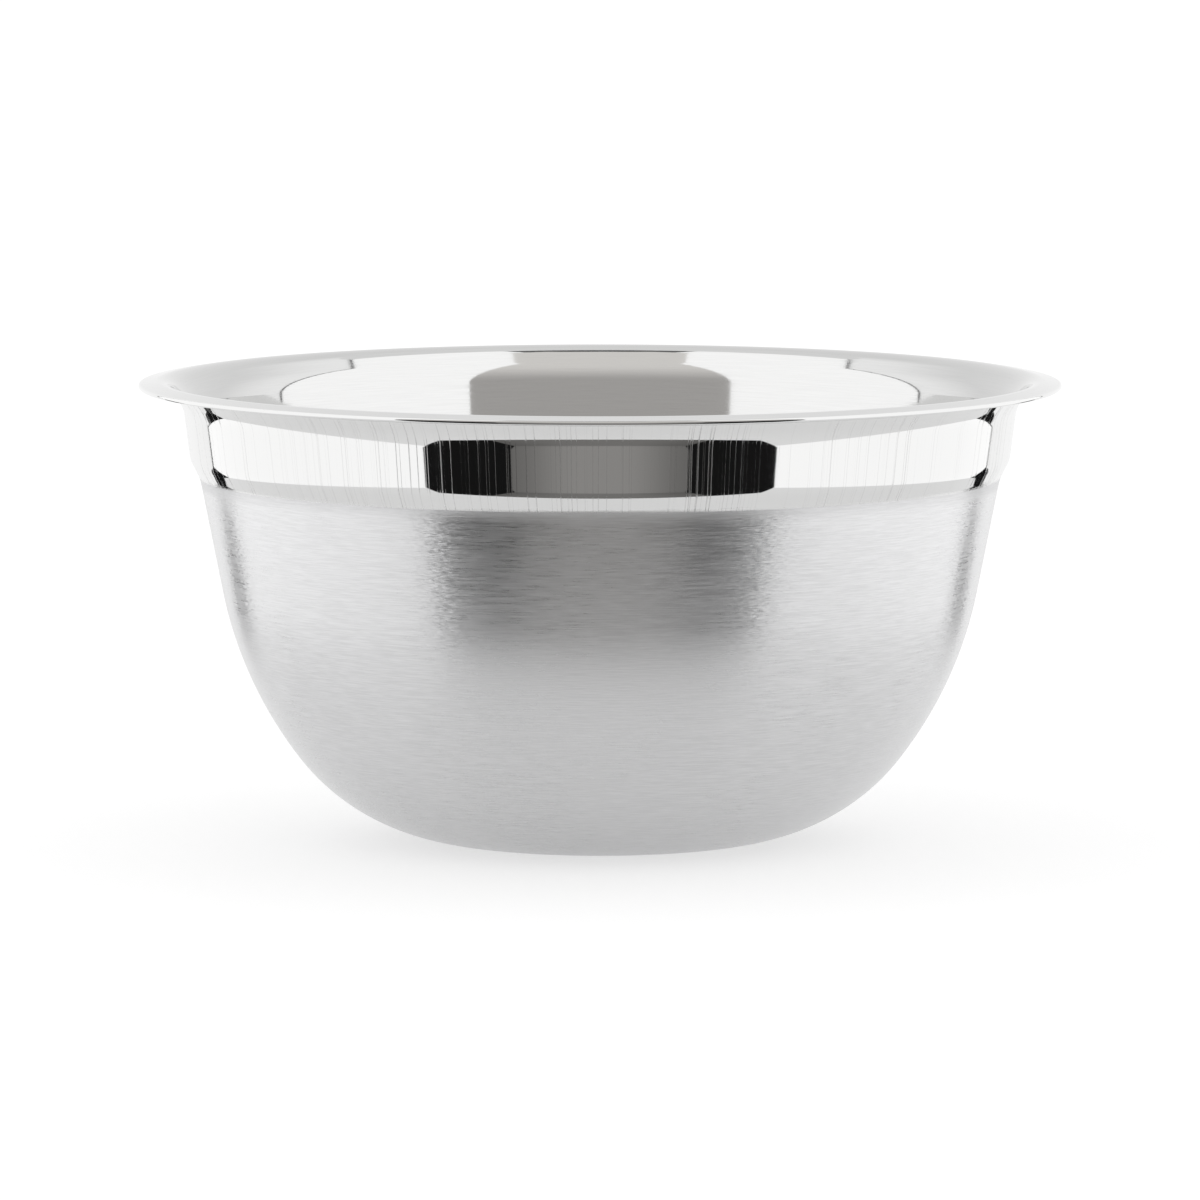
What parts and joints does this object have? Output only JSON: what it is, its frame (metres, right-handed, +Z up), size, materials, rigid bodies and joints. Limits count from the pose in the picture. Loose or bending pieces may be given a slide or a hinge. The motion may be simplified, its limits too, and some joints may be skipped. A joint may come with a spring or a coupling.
{
  "type": "mixing bowl",
  "caption": "Round stainless steel mixing bowl: flared rim, polished collar band over a small step, and a brushed wall curving down to a flat base.",
  "frame": {"origin": "centre of the underside of the flat base, on the surface that the bowl stands on", "axes": "+Z up along the bowl's axis, out of its mouth; +X and +Y are any two directions across it, because the bowl is round"},
  "size_m": [0.24, 0.24, 0.1203],
  "materials": {
    "brushed_steel": "satin",
    "polished_steel": "polished"
  },
  "bodies": {
    "root": {"base_disc": "brushed_steel", "bottom_round": "brushed_steel", "side_wall": "brushed_steel", "collar_band": "polished_steel", "rim_flange": "polished_steel"}
  },
  "joints": []
}
